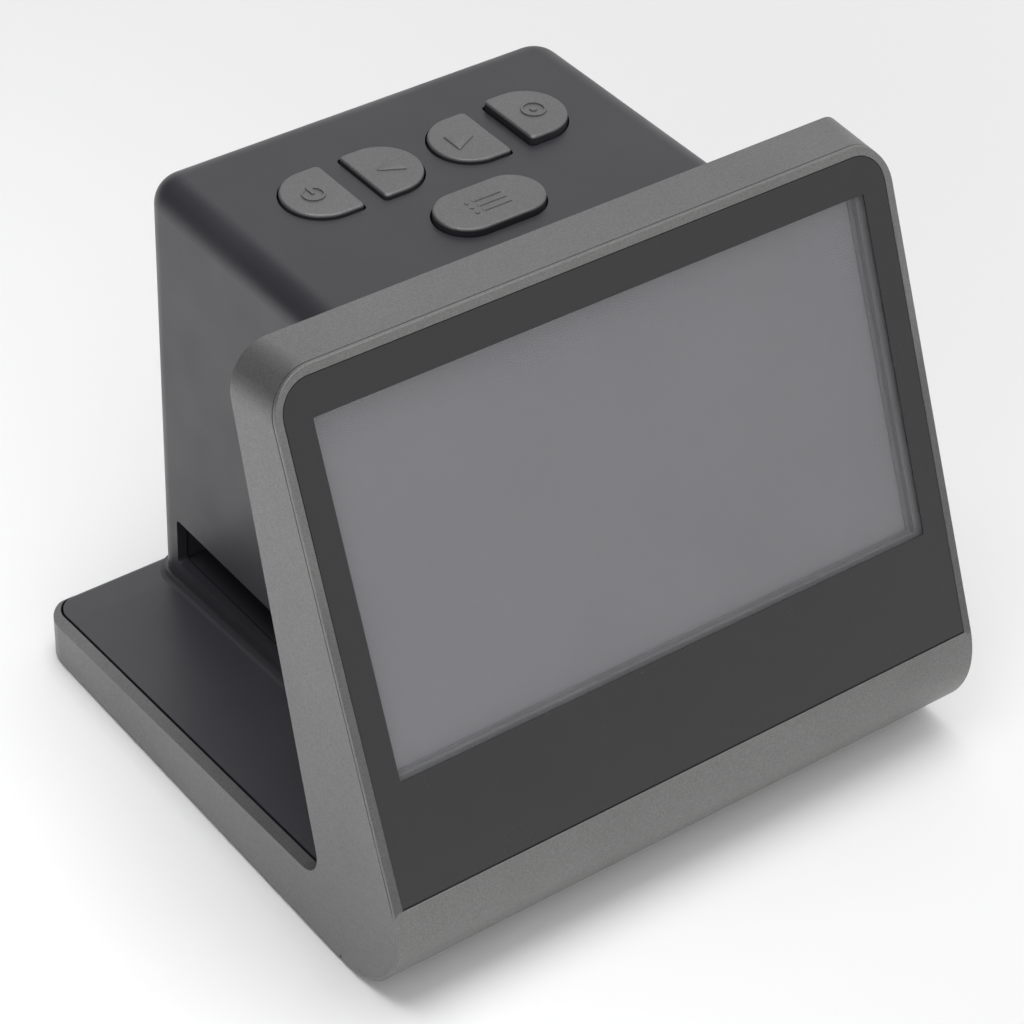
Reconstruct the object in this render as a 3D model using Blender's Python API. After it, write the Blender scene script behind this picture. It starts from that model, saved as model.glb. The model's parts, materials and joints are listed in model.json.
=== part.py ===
"""Desktop film and slide viewer: a tilted screen, a camera box behind it and a through slot for film.

All sizes are in millimetres and are turned into metres where a mesh is made. The datum is the line where
the plane of the screen meets the plane of the shell's bottom edge, halfway across: x to the right, y back,
z up. The "datum" empty puts the finished object's origin under the middle of its footprint, on the table.
The "screen" empty carries everything that lies parallel to the screen: there x is across, y up the slope
and z out of the screen.
"""

import math

import bmesh
import bpy
from mathutils import Vector

MM = 0.001
GAP = 0.3

# Outside of the shell.
WIDTH = 124.7
TILT = math.radians(23.0)
NOSE_RADIUS = 16.57
BACK_Y = 123.9
FRAME_FRONT_Z = 107.4
FRAME_REAR_Z = 105.7
FRAME_REAR_Y = 57.5
REAR_LEAN = 0.2894
COVER_Z_AT_20 = 13.16
COVER_FALL = 0.0494
ROLL_Y = 116.0
ROLL_DROP = 0.35
ROLL_RADIUS = 1.6
WALL = 2.0
CHEEK = 2.4
TOP_CORNER = 8.0
TIGHT_CORNER = 3.2
BACK_CORNER = 8.0
POCKET_RADIUS = 5.0
FACE_THICK = 0.8
LIP = 1.0
RABBET = 3.3
BEZEL_THICK = 3.0

# Camera box behind the screen.
BODY_X = 5.1
BODY_HALF = 42.9
BODY_BACK = 122.2
BODY_TOP = 94.9
BODY_CORNER = 6.0
BODY_EDGE = 5.5

# Film slot through the box, and the image gate in it.
SLOT_Y = (50.0, 114.3)
SLOT_Z = (13.7, 23.7)
GATE_Y = 82.0
GATE_SIZE = (38.0, 26.0)

# Display stack, measured on the slope and down from the face.
LENS_HALF = 60.7
LENS_SPAN = (25.2, 114.95)
LENS_CORNER = 5.8
LENS_DEPTH = (0.15, 1.35)
LCD_HALF = 58.8
LCD_SPAN = (42.7, 112.3)

# Push buttons on top of the box.
KEY_TRAVEL = 0.5
KEY_CLEAR = 0.3
ROW_X = 5.3
D_RADIUS = 7.3
D_ROW_Y = 98.65
D_WIDTH = 11.4
INNER_KEY_FLAT = 13.3
OUTER_KEY_FLAT = 17.5
OVAL_HALF = (10.6, 5.9)
OVAL_Y = 79.7
FLANGE_Z = (91.4, 92.4)
POST_Z = 90.6
SWITCH_Z = (85.7, 88.9)
PLUNGER_Z = (89.2, 90.3)
KEY_BOARD_Z = (83.8, 85.4)

# Camera column.
TUNNEL_TOP = 72.6
LENS_TUBE_Z = (54.0, 69.5)

# Base.
BOTTOM_Z = (0.2, 2.2)
HOUSING_FOOT_Z = 2.5
FOOT_DROP = 0.8
FOOT_RADIUS = 5.0
PORT_Z = (4.4, 7.6)

NOSE_FRONT_Y = NOSE_RADIUS * (1 + math.sin(TILT)) / math.cos(TILT) - NOSE_RADIUS
MID_Y = (NOSE_FRONT_Y + BACK_Y) / 2


def front_y(z):
    """Where the plane of the screen is at a height."""
    return z * math.tan(TILT)


def rear_y(z):
    """Where the back of the screen frame is at a height."""
    return FRAME_REAR_Y - REAR_LEAN * (FRAME_REAR_Z - z)


def cover_z(y):
    """Height of the base's top, which falls towards the back."""
    return COVER_Z_AT_20 - COVER_FALL * (y - 20.0)


def crossing(inset):
    """Where the frame's back and the base's top meet, both moved inwards by inset."""
    lean = inset * math.hypot(1.0, REAR_LEAN)
    drop = inset * math.hypot(1.0, COVER_FALL)
    y = FRAME_REAR_Y - lean - REAR_LEAN * (FRAME_REAR_Z - COVER_Z_AT_20 - COVER_FALL * 20.0 + drop)
    y /= 1.0 + REAR_LEAN * COVER_FALL
    return y, cover_z(y) - drop


# Scene and materials.


def clear_scene():
    for obj in list(bpy.data.objects):
        bpy.data.objects.remove(obj)


def paint(name, colour, roughness, metallic=0.0):
    material = bpy.data.materials.new(name)
    material.use_nodes = True
    shader = material.node_tree.nodes["Principled BSDF"]
    shader.inputs["Base Color"].default_value = (*colour, 1.0)
    shader.inputs["Roughness"].default_value = roughness
    shader.inputs["Metallic"].default_value = metallic
    return material


def empty(name, parent=None, location=(0.0, 0.0, 0.0), turn=0.0):
    holder = bpy.data.objects.new(name, None)
    bpy.context.scene.collection.objects.link(holder)
    holder.parent = parent
    holder.location = Vector(location) * MM
    holder.rotation_euler.x = turn
    return holder


# Outlines.


def outline(corners):
    """A closed outline from (a, b) or (a, b, radius) corners, with an arc at each radius."""
    points = []
    for index, corner in enumerate(corners):
        here = Vector(corner[:2])
        radius = corner[2] if len(corner) > 2 else 0.0
        if not radius:
            points.append(here)
            continue
        before = (Vector(corners[index - 1][:2]) - here).normalized()
        after = (Vector(corners[(index + 1) % len(corners)][:2]) - here).normalized()
        angle = before.angle(after)
        centre = here + (before + after).normalized() * radius / math.sin(angle / 2)
        reach = radius / math.tan(angle / 2)
        start = here + before * reach - centre
        end = here + after * reach - centre
        steps = max(2, math.ceil((math.pi - angle) / math.radians(20)))
        points += [centre + start.slerp(end, step / steps).normalized() * radius for step in range(steps + 1)]
    return points


def rectangle(x0, x1, y0, y1, radius=0.0):
    return outline([(x0, y0, radius), (x1, y0, radius), (x1, y1, radius), (x0, y1, radius)])


def circle(radius, count=20, centre=(0.0, 0.0)):
    angles = [2 * math.pi * step / count for step in range(count)]
    return [Vector((centre[0] + radius * math.cos(a), centre[1] + radius * math.sin(a))) for a in angles]


def side_outline():
    """The shell seen from the side: nose, bottom, back, base top, pocket, frame back, frame top."""
    pocket = crossing(0.0)
    return outline(
        [
            (0.0, 0.0, NOSE_RADIUS),
            (BACK_Y, 0.0),
            (BACK_Y, cover_z(BACK_Y) - ROLL_DROP, ROLL_RADIUS),
            (ROLL_Y, cover_z(ROLL_Y)),
            (*pocket, POCKET_RADIUS),
            (FRAME_REAR_Y, FRAME_REAR_Z),
            (front_y(FRAME_FRONT_Z), FRAME_FRONT_Z),
        ]
    )


def plan_outline(half, back, corner):
    return outline([(-half, -30.0), (half, -30.0), (half, back, corner), (-half, back, corner)])


def stepped_plan(half, back, corner, tail_half, tail_back):
    """A plan whose middle reaches further back than its corners."""
    return outline(
        [
            (-half, -30.0),
            (half, -30.0),
            (half, back, corner),
            (tail_half, back),
            (tail_half, tail_back),
            (-tail_half, tail_back),
            (-tail_half, back),
            (-half, back, corner),
        ]
    )


def face_outline(half, bottom, top, corner):
    """A plate on the slope with round top corners."""
    return outline([(-half, bottom), (half, bottom), (half, top, corner), (-half, top, corner)])


# Solids.


class Maker:
    """Makes objects under one empty."""

    def __init__(self, parent):
        self.parent = parent

    def solid(self, name, material, points, faces, origin=(0.0, 0.0, 0.0)):
        mesh = bpy.data.meshes.new(name)
        shape = bmesh.new()
        verts = [shape.verts.new((Vector(point) - Vector(origin)) * MM) for point in points]
        for face in faces:
            shape.faces.new([verts[index] for index in face])
        bmesh.ops.recalc_face_normals(shape, faces=shape.faces)
        shape.to_mesh(mesh)
        shape.free()
        obj = bpy.data.objects.new(name, mesh)
        bpy.context.scene.collection.objects.link(obj)
        obj.parent = self.parent
        obj.location = Vector(origin) * MM
        if material:
            mesh.materials.append(material)
        return obj

    def loft(self, name, material, rings, origin=(0.0, 0.0, 0.0), loop=False):
        """Joins rings of equally many points. A loop closes on its first ring and has no ends."""
        count = len(rings[0])
        points = [point for ring in rings for point in ring]
        faces = []
        for level in range(len(rings) if loop else len(rings) - 1):
            low = level * count
            high = ((level + 1) % len(rings)) * count
            for step in range(count):
                after = (step + 1) % count
                faces.append((low + step, low + after, high + after, high + step))
        if not loop:
            faces.append(tuple(range(count)))
            faces.append(tuple(range((len(rings) - 1) * count, len(rings) * count)))
        return self.solid(name, material, points, faces, origin)

    def prism(self, name, material, shape, axis, low, high, fall=0.0, origin=(0.0, 0.0, 0.0)):
        """Extrudes an outline along X, Y or Z. fall lowers a Y prism as it goes back from the frame's front."""
        def place(point, along):
            if axis == "X":
                return along, point.x, point.y
            if axis == "Y":
                return point.x, along, point.y - fall * (along - front_y(FRAME_FRONT_Z))
            return point.x, point.y, along

        rings = [[place(point, along) for point in shape] for along in (low, high)]
        return self.loft(name, material, rings, origin)

    def box(self, name, material, low, high):
        return self.prism(name, material, rectangle(low[0], high[0], low[1], high[1]), "Z", low[2], high[2])

    def turned(self, name, material, profile, centre, count=20, origin=None, loop=False):
        """Turns (radius, z) steps about a vertical axis. A radius of nearly nothing makes a tip."""
        rings = []
        for radius, z in profile:
            rings.append([(*point, z) for point in circle(radius, count, centre)])
        return self.loft(name, material, rings, origin or (0.0, 0.0, 0.0), loop)


def shade(obj, degrees=35):
    obj.data.shade_smooth()
    obj.data.set_sharp_from_angle(angle=math.radians(degrees))
    return obj


def work(target, operation, *tools):
    for tool in tools:
        modifier = target.modifiers.new(tool.name, "BOOLEAN")
        modifier.operation = operation
        modifier.solver = "EXACT"
        modifier.object = tool
        tool.hide_render = True
        tool.display_type = "WIRE"
    return target


# Casing.


def frame_block(make, name, inset, low):
    """Everything inside the frame's outline, moved inwards by inset. Its top falls towards the back.

    The right top corner tightens from the front edge to the back edge.
    """
    front = front_y(FRAME_FRONT_Z)
    fall = (FRAME_FRONT_Z - FRAME_REAR_Z) / (FRAME_REAR_Y - front)
    half = WIDTH / 2 - inset
    top = FRAME_FRONT_Z - inset
    wide = TOP_CORNER - inset
    tight = max(TIGHT_CORNER - inset, 0.5)
    rings = []
    stations = ((-40.0 + inset, wide), (front - 1.0, wide), (FRAME_REAR_Y, tight), (160.0 + inset, tight))
    for along, corner in stations:
        face = outline([(-half, low), (half, low), (half, top, corner), (-half, top, wide)])
        rings.append([(point.x, along, point.y - fall * (along - front)) for point in face])
    return make.loft(name, None, rings)


def make_outer_shell(make, screen, gunmetal):
    """The gunmetal band: two L-shaped cheeks joined over the screen."""
    half = WIDTH / 2
    shell = make.prism("outer_shell", gunmetal, side_outline(), "X", -half, half)
    work(shell, "INTERSECT", frame_block(make, "tool_shell_face", 0.0, -60.0))
    plan = plan_outline(half, BACK_Y, BACK_CORNER)
    work(shell, "INTERSECT", make.prism("tool_shell_plan", None, plan, "Z", -5.0, 130.0))

    inner = half - CHEEK
    hollow = frame_block(make, "tool_shell_hollow", CHEEK, -70.0)
    plan = stepped_plan(inner, BACK_Y - 0.35, 5.5, 54.4, 175.0)
    work(hollow, "INTERSECT", make.prism("tool_shell_hollow_plan", None, plan, "Z", -6.0, 140.0))
    work(shell, "DIFFERENCE", hollow)

    edge = half - LIP
    top_edge = FRAME_FRONT_Z / math.cos(TILT) - LIP
    seat = face_outline(edge, -60.0, top_edge, TOP_CORNER - LIP)
    work(shell, "DIFFERENCE", screen.prism("tool_bezel_seat", None, seat, "Z", -RABBET, 10.0))
    work(shell, "DIFFERENCE", nose_strip(make, "tool_nose_seat", None, RABBET, edge, 1.0, GAP))
    face = rectangle(-half - 2.0, half + 2.0, -60.0, top_edge + 8.0)
    work(shell, "DIFFERENCE", screen.prism("tool_face_room", None, face, "Z", -FACE_THICK - GAP, 11.0))
    work(shell, "DIFFERENCE", nose_strip(make, "tool_nose_room", None, FACE_THICK + GAP, half + 2.0, 1.5, GAP))
    return shade(shell)


def nose_strip(make, name, material, depth, half, outside=0.0, past=0.0):
    """The curved strip under the screen, depth thick, from the slope round to the underside."""
    centre = Vector((NOSE_FRONT_Y + NOSE_RADIUS, NOSE_RADIUS))
    first = math.pi - TILT
    last = 1.5 * math.pi
    steps = 9
    angles = [first + (last - first) * step / steps for step in range(steps + 1)]
    rays = [Vector((math.cos(a), math.sin(a))) for a in angles]
    outer = [centre + ray * (NOSE_RADIUS + outside) for ray in rays]
    inner = [centre + ray * (NOSE_RADIUS - depth) for ray in rays]
    if past:
        outer.append(outer[-1] + Vector((past, 0.0)))
        inner.append(inner[-1] + Vector((past, 0.0)))
    return make.prism(name, material, outer + inner[::-1], "X", -half, half)


def make_front_bezel(make, screen, gunmetal):
    """Face of the frame: a ring round the lens panel and the nose below it, on a plate inside the shell."""
    full = WIDTH / 2
    tangent = NOSE_RADIUS * (1 + math.sin(TILT)) / math.cos(TILT)
    top = FRAME_FRONT_Z / math.cos(TILT)
    face = rectangle(-full, full, tangent, top + 2.0)
    bezel = screen.prism("front_bezel", gunmetal, face, "Z", -FACE_THICK, 0.0)
    work(bezel, "INTERSECT", frame_block(make, "tool_bezel_outline", 0.0, -60.0))
    work(bezel, "UNION", nose_strip(make, "tool_nose", None, FACE_THICK, full))
    inset = LIP + GAP
    plate = face_outline(full - inset, tangent, top - inset, TOP_CORNER - inset)
    work(bezel, "UNION", screen.prism("tool_bezel_plate", None, plate, "Z", -BEZEL_THICK, -FACE_THICK / 2))
    work(bezel, "UNION", nose_strip(make, "tool_nose_back", None, BEZEL_THICK, full - inset, -FACE_THICK / 2))
    seat = face_outline(LENS_HALF + GAP, LENS_SPAN[0] - GAP, LENS_SPAN[1] + GAP, LENS_CORNER + GAP)
    work(bezel, "DIFFERENCE", screen.prism("tool_lens_seat", None, seat, "Z", -LENS_DEPTH[1] - GAP, 5.0))
    window = rectangle(-57.0, 57.0, 44.3, 110.7, 1.0)
    work(bezel, "DIFFERENCE", screen.prism("tool_window", None, window, "Z", -8.0, 5.0))
    return shade(bezel)


def body_block(make, name, material, inset, front, floor):
    """The camera box as a block with a slanted front, round back corners and round top edges."""
    left = BODY_X - BODY_HALF + inset
    right = BODY_X + BODY_HALF - inset
    back = BODY_BACK - inset
    top = BODY_TOP - inset
    side = [(rear_y(floor) - front, floor), (back, floor), (back, top), (rear_y(top) - front, top)]
    block = make.prism(name, material, outline(side), "X", left, right)
    shape = bmesh.new()
    shape.from_mesh(block.data)
    tiny = 0.01 * MM

    def upright(edge):
        return all(abs(v.co.y - back * MM) < tiny for v in edge.verts) and (
            abs(edge.verts[0].co.x - edge.verts[1].co.x) < tiny
        )

    def on_rim(edge):
        ends = [v.co for v in edge.verts]
        at_front = all(abs(co.y - (rear_y(top) - front) * MM) < tiny for co in ends)
        return all(abs(co.z - top * MM) < tiny for co in ends) and not at_front

    for choose, radius in ((upright, BODY_CORNER - inset), (on_rim, BODY_EDGE - inset)):
        edges = [edge for edge in shape.edges if choose(edge)]
        bmesh.ops.bevel(
            shape, geom=edges, offset=radius * MM, segments=4, profile=0.5, affect="EDGES", clamp_overlap=False
        )
    shape.to_mesh(block.data)
    shape.free()
    return block


def key_shapes():
    """Each key as (name, outline for a growth, middle, height above the box)."""
    keys = []
    for name, flat, side, rise in (
        ("power", OUTER_KEY_FLAT, -1, 0.8),
        ("back", INNER_KEY_FLAT, 1, 0.9),
        ("forward", INNER_KEY_FLAT, -1, 0.8),
        ("select", OUTER_KEY_FLAT, 1, 1.6),
    ):
        outward = -1 if name in ("power", "back") else 1
        flat_x = ROW_X + outward * flat
        keys.append((name, d_outline(flat_x, side), (flat_x + side * D_WIDTH / 2, D_ROW_Y), rise))
    keys.append(("scan", oval_outline(), (BODY_X, OVAL_Y), 1.4))
    return keys


def d_outline(flat_x, side):
    """A D with its flat at flat_x and its round end on the given side, as a function of how much it grows."""
    centre_x = flat_x + side * (D_WIDTH - D_RADIUS)

    def grown(growth):
        radius = D_RADIUS + growth
        arc = [math.radians(-90 + 15 * step) for step in range(13)]
        points = [Vector((centre_x + side * radius * math.cos(a), D_ROW_Y + radius * math.sin(a))) for a in arc]
        corner = 0.6
        edge = flat_x - side * growth
        for sign in (1, -1):
            start, end = (90, 180) if sign > 0 else (180, 270)
            for step in range(4):
                a = math.radians(start + (end - start) * step / 3)
                x = edge + side * corner + side * corner * math.cos(a)
                y = D_ROW_Y + sign * (radius - corner) + corner * math.sin(a)
                points.append(Vector((x, y)))
        return points if side > 0 else points[::-1]

    return grown


def oval_outline():
    def grown(growth):
        radius = OVAL_HALF[1] + growth
        reach = OVAL_HALF[0] - OVAL_HALF[1]
        points = []
        for sign, start in ((1, -90), (-1, 90)):
            for step in range(11):
                a = math.radians(start + 18 * step)
                middle = Vector((BODY_X + sign * reach, OVAL_Y))
                points.append(middle + radius * Vector((math.cos(a), math.sin(a))))
        return points

    return grown


PORTS = {
    "card_socket": ((-30.0, -4.0), 103.5, 0.45),
    "usb_socket": ((8.0, 17.0), 114.3, 0.5),
    "hdmi_socket": ((26.0, 37.2), 113.5, 0.5),
}
BOSSES = [(-50.0, 52.0), (50.0, 52.0), (-50.0, 96.0), (50.0, 96.0)]
KEY_POSTS = [(-30.0, 98.7), (40.2, 98.7)]


def make_rear_housing(make, black):
    """Frame back, camera box, base cover and back wall in one moulding."""
    half = WIDTH / 2 - CHEEK - GAP
    pocket = crossing(0.0)
    top = FRAME_REAR_Z - CHEEK - GAP - 0.2
    depth = 10.0 / math.cos(TILT)
    side = outline(
        [
            (31.0, HOUSING_FOOT_Z),
            (BACK_Y, HOUSING_FOOT_Z),
            (BACK_Y, cover_z(BACK_Y) - ROLL_DROP, ROLL_RADIUS),
            (ROLL_Y, cover_z(ROLL_Y)),
            (*pocket, POCKET_RADIUS),
            (rear_y(top), top),
            (front_y(top) + depth, top),
            (front_y(26.0) + depth, 26.0),
            (31.0, 13.0),
        ]
    )
    housing = make.prism("rear_housing", black, side, "X", -half, half)
    plan = stepped_plan(half, BACK_Y - 0.65, 5.2, 54.1, 160.0)
    work(housing, "INTERSECT", make.prism("tool_housing_plan", None, plan, "Z", -5.0, 130.0))
    work(housing, "INTERSECT", frame_block(make, "tool_housing_face", CHEEK + GAP, -50.0))
    work(housing, "UNION", body_block(make, "tool_body", None, 0.0, 1.0, 8.5))

    inner = crossing(WALL)
    lean = WALL * math.hypot(1.0, REAR_LEAN)
    side = outline(
        [
            (-20.0, -20.0),
            (BACK_Y - WALL, -20.0),
            (BACK_Y - WALL, cover_z(BACK_Y - WALL) - WALL),
            (*inner, POCKET_RADIUS + WALL),
            (rear_y(top - WALL) - lean, top - WALL),
            (-20.0, top - WALL),
        ]
    )
    hollow = make.prism("tool_base_hollow", None, side, "X", -half + WALL, half - WALL)
    plan = plan_outline(half - WALL, BACK_Y - WALL - 0.2, 3.4)
    work(hollow, "INTERSECT", make.prism("tool_base_hollow_plan", None, plan, "Z", -30.0, 140.0))
    work(housing, "DIFFERENCE", hollow, body_block(make, "tool_body_hollow", None, WALL, 14.0, -15.0))

    slot = rectangle(*SLOT_Y, *SLOT_Z, 0.8)
    work(housing, "DIFFERENCE", make.prism("tool_slot", None, slot, "X", -48.0, 58.0))
    for name, shape, _, _ in key_shapes():
        tool = make.prism("tool_hole_" + name, None, shape(KEY_CLEAR), "Z", 90.0, 100.0)
        work(housing, "DIFFERENCE", tool)
    for name, (span, _, _) in PORTS.items():
        mouth = rectangle(span[0] - 0.4, span[1] + 0.4, PORT_Z[0] - 0.4, PORT_Z[1] + 0.4)
        work(housing, "DIFFERENCE", make.prism("tool_mouth_" + name, None, mouth, "Y", 118.0, 130.0))
    for index, spot in enumerate(BOSSES):
        tip = cover_z(spot[1]) - 1.0
        boss = make.prism(f"tool_boss_{index}", None, circle(3.0, 16, spot), "Z", HOUSING_FOOT_Z, tip)
        work(housing, "UNION", boss)
        pilot = make.prism(f"tool_pilot_{index}", None, circle(1.3, 12, spot), "Z", 0.0, 7.6)
        work(housing, "DIFFERENCE", pilot)
    for index, spot in enumerate(KEY_POSTS):
        post = circle(2.2, 12, spot)
        foot = KEY_BOARD_Z[1] + GAP
        work(housing, "UNION", make.prism(f"tool_post_{index}", None, post, "Z", foot, BODY_TOP - 1.0))
        pilot = make.prism(f"tool_post_pilot_{index}", None, circle(1.1, 12, spot), "Z", 80.0, foot + 4.5)
        work(housing, "DIFFERENCE", pilot)
    return shade(housing)


FEET = [(-50.0, 36.0), (50.0, 36.0), (-50.0, 112.0), (50.0, 112.0)]
FOOT_NAMES = ["front_left", "front_right", "back_left", "back_right"]


def make_bottom_cover(make, black):
    half = WIDTH / 2 - CHEEK - GAP
    front = NOSE_FRONT_Y + NOSE_RADIUS + 0.6
    back = BACK_Y - 0.65
    plan = outline([(-half, front, 1.0), (half, front, 1.0), (half, back, 5.2), (-half, back, 5.2)])
    cover = make.prism("bottom_cover", black, plan, "Z", *BOTTOM_Z)
    for index, spot in enumerate(BOSSES):
        through = make.prism(f"tool_through_{index}", None, circle(1.5, 12, spot), "Z", -1.0, 4.0)
        work(cover, "DIFFERENCE", through)
        sink = make.prism(f"tool_sink_{index}", None, circle(2.9, 16, spot), "Z", -1.0, 1.4)
        work(cover, "DIFFERENCE", sink)
    for index, spot in enumerate(FEET):
        seat = circle(FOOT_RADIUS + GAP, 24, spot)
        work(cover, "DIFFERENCE", make.prism(f"tool_foot_seat_{index}", None, seat, "Z", -1.0, 0.9))
    return cover


def make_feet(make, rubber):
    for name, spot in zip(FOOT_NAMES, FEET):
        r = FOOT_RADIUS
        profile = [(r - 0.5, -FOOT_DROP), (r, -FOOT_DROP + 0.4), (r, 0.6)]
        shade(make.turned("foot_" + name, rubber, profile, spot, 24))


def make_screws(make, name, steel, spots, head, shank, head_z, tip_z, upward=True):
    """Pan head screws. upward means the head is below and the tip above."""
    for index, spot in enumerate(spots):
        sign = 1 if upward else -1
        profile = [
            (head - 0.3, head_z),
            (head, head_z + sign * 0.3),
            (head, head_z + sign * 0.8),
            (shank, head_z + sign * 0.8),
            (shank, tip_z - sign * 0.8),
            (0.3, tip_z),
        ]
        shade(make.turned(f"{name}_{index + 1}", steel, profile, spot, 12))


# Display.


def make_display(make, screen, colours):
    lens = face_outline(LENS_HALF, *LENS_SPAN, LENS_CORNER)
    screen.prism("lens_panel", colours["lens"], lens, "Z", -LENS_DEPTH[1], -LENS_DEPTH[0])

    outer = rectangle(-LCD_HALF, LCD_HALF, *LCD_SPAN, 0.5)
    screen.prism("display_panel", colours["glass"], outer, "Z", -6.3, -4.5)
    screen.prism("display_backlight", colours["steel"], outer, "Z", -8.4, -6.6)

    bracket = screen.prism("display_bracket", colours["steel"], outer, "Z", -9.6, -8.7)
    hole = rectangle(-46.0, 46.0, 54.0, 101.0, 3.0)
    work(bracket, "DIFFERENCE", screen.prism("tool_bracket_hole", None, hole, "Z", -12.0, 0.0))

    plate = rectangle(-44.0, 44.0, 31.0, 76.0, 1.5)
    board = screen.prism("main_board", colours["board"], plate, "Z", -13.2, -12.0)
    spots = [(-41.0, 53.5), (41.0, 53.5)]
    for index, spot in enumerate(spots):
        hole = screen.prism(f"tool_board_hole_{index}", None, circle(1.4, 12, spot), "Z", -20.0, -5.0)
        work(board, "DIFFERENCE", hole)
    make_screws(screen, "main_board_screw", colours["steel"], spots, 2.2, 1.1, -14.3, -10.2)
    for name, span in (("processor", (-9.0, 5.0, 52.0, 66.0)), ("memory", (12.0, 22.0, 53.0, 65.0))):
        work(board, "UNION", screen.prism("tool_" + name, None, rectangle(*span), "Z", -12.5, -10.8))

    ribbon = [(42.1, -5.6), (39.6, -5.9), (38.6, -8.4), (39.8, -11.2)]
    make_ribbon(screen, "display_ribbon", colours["ribbon"], ribbon, (-16.0, 16.0))


def make_ribbon(make, name, material, path, span, thick=0.3):
    """A flat flexible cable: a thin strip that follows a path in the side view, span wide in x."""
    points = [Vector(point) for point in path]
    left = []
    right = []
    for index, point in enumerate(points):
        before = points[max(index - 1, 0)]
        after = points[min(index + 1, len(points) - 1)]
        along = (after - before).normalized()
        normal = Vector((-along.y, along.x)) * thick / 2
        left.append(point + normal)
        right.append(point - normal)
    return make.prism(name, material, left + right[::-1], "X", *span)


# Keys.


def make_keys(make, colours):
    board_edges = rectangle(-33.5, 43.7, 72.5, 106.0, 1.5)
    board = make.prism("key_board", colours["board"], board_edges, "Z", *KEY_BOARD_Z)
    for index, spot in enumerate(KEY_POSTS):
        hole = make.prism(f"tool_key_board_hole_{index}", None, circle(1.4, 12, spot), "Z", 80.0, 90.0)
        work(board, "DIFFERENCE", hole)
    head_z = KEY_BOARD_Z[0] - GAP - 0.8
    make_screws(make, "key_board_screw", colours["steel"], KEY_POSTS, 2.0, 0.8, head_z, 88.6)
    for name, shape, middle, rise in key_shapes():
        make_key(make, name, shape, middle, rise, colours)


def make_key(make, name, shape, middle, rise, colours):
    """A cap with a flange under the box's top and a post on the switch, the switch, and its plunger."""
    top = BODY_TOP + rise
    count = len(shape(0.0))
    first = (shape(0.0)[0] - Vector(middle)).to_2d()
    start = math.atan2(first.y, first.x)
    turn = 2 * math.pi / count
    angles = [start + turn * i for i in range(count)]
    post = [Vector(middle) + 1.6 * Vector((math.cos(a), math.sin(a))) for a in angles]
    steps = [(FLANGE_Z[0], 0.9), (FLANGE_Z[1], 0.9), (FLANGE_Z[1], 0.0)]
    steps += [(top - 0.7, 0.0), (top - 0.25, -0.2), (top, -0.7)]
    rings = [[(*point, POST_Z) for point in post], [(*point, FLANGE_Z[0]) for point in post]]
    rings += [[(*point, z) for point in shape(growth)] for z, growth in steps]
    shade(make.loft(name + "_key", colours["gunmetal"], rings, (*middle, BODY_TOP)))

    x, y = middle
    low, high = SWITCH_Z
    switch = make.box(name + "_switch", colours["chip"], (x - 3.0, y - 3.0, low), (x + 3.0, y + 3.0, high))
    pocket = make.prism("tool_switch_" + name, None, circle(2.1, 12, middle), "Z", high - 1.5, high + 1.0)
    work(switch, "DIFFERENCE", pocket)
    profile = [(1.6, PLUNGER_Z[0]), (1.6, PLUNGER_Z[1] - 0.2), (1.4, PLUNGER_Z[1])]
    shade(make.turned(name + "_plunger", colours["steel"], profile, middle, 12, (*middle, PLUNGER_Z[0])))


# Film path and light.


def gate_window(make, name, grow, low, high):
    x, y = BODY_X, GATE_Y
    a, b = GATE_SIZE[0] / 2 + grow, GATE_SIZE[1] / 2 + grow
    return make.prism(name, None, rectangle(x - a, x + a, y - b, y + b, 1.5), "Z", low, high)


DETENT = (BODY_X, 54.0)


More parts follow.
